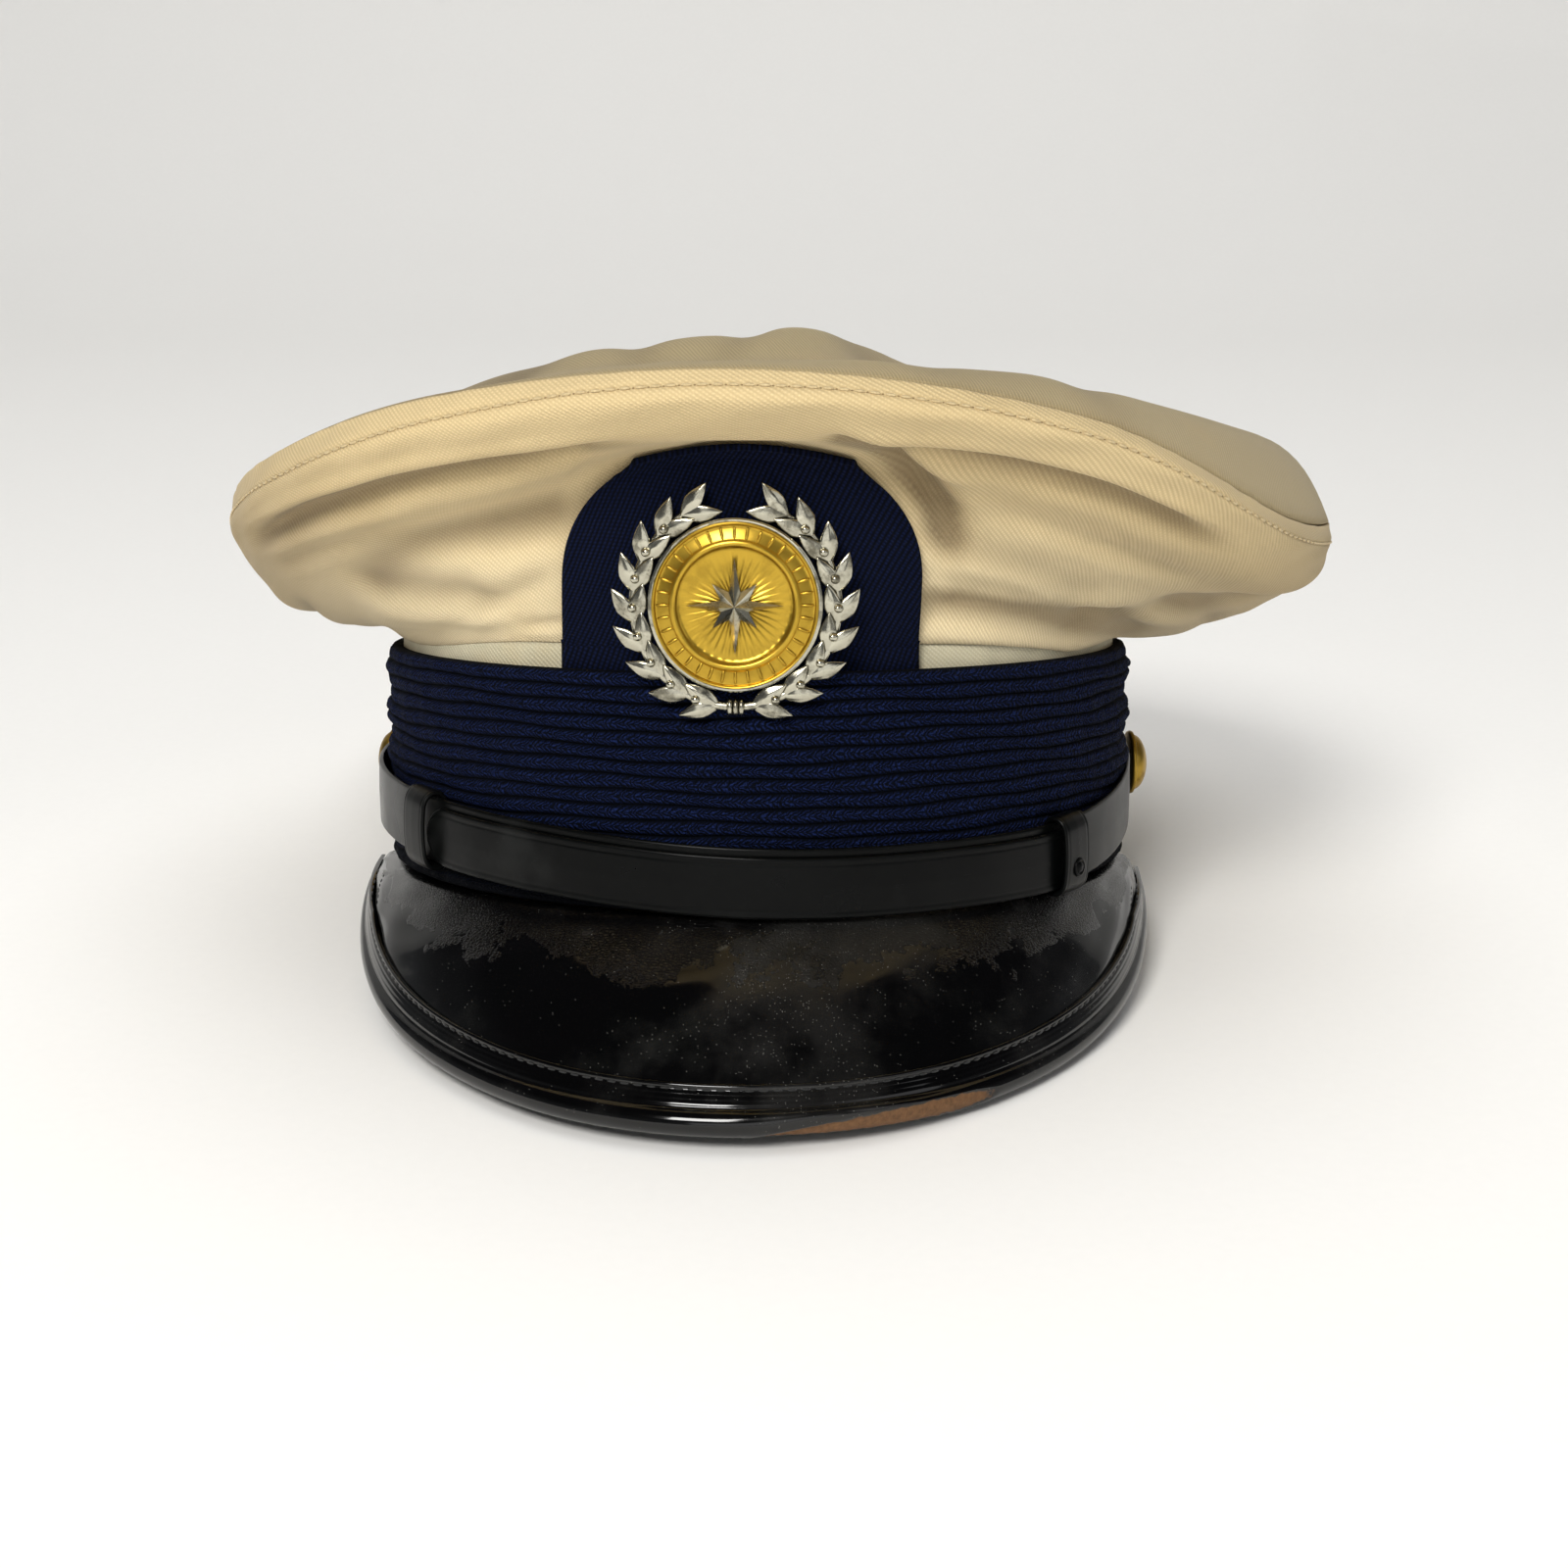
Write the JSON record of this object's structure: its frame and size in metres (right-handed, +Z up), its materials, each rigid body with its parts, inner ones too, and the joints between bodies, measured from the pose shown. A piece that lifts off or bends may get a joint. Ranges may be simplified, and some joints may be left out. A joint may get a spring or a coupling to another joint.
{
  "type": "peaked uniform cap",
  "caption": "Peaked uniform cap: wide cream cloth crown, ribbed navy band, black bound peak, chin strap with side buttons, and a wreathed metal badge on a cloth tab.",
  "frame": {"origin": "on the surface that the cap rests on, under the middle of its bounding box", "axes": "+Z up, -Y the way the badge and peak face, +X to the right when facing the badge"},
  "size_m": [0.2526, 0.2886, 0.1449],
  "materials": {
    "cover_twill": "yellowed cream cotton twill, matt",
    "hem_twill": "paler cream cotton twill, matt",
    "braid": "navy ribbed braid, matt",
    "navy_twill": "navy wool twill, matt",
    "patent_leather": "black patent, high gloss, scuffed",
    "strap_leather": "black leather, satin, scratched",
    "gilt": "worn gilt",
    "silver": "tarnished silver plate"
  },
  "bodies": {
    "root": {"crown_side": "cover_twill", "crown_top": "cover_twill", "crown_hem": "hem_twill", "band": "braid", "badge_tab": "navy_twill", "peak": "patent_leather", "peak_binding": "patent_leather", "chin_strap": "strap_leather", "keeper_left": "strap_leather", "keeper_right": "strap_leather", "keeper_rivet": "strap_leather", "button_left": "gilt", "button_right": "gilt", "badge_disc": "gilt", "badge_star": "silver", "badge_wreath": "silver"}
  },
  "joints": []
}
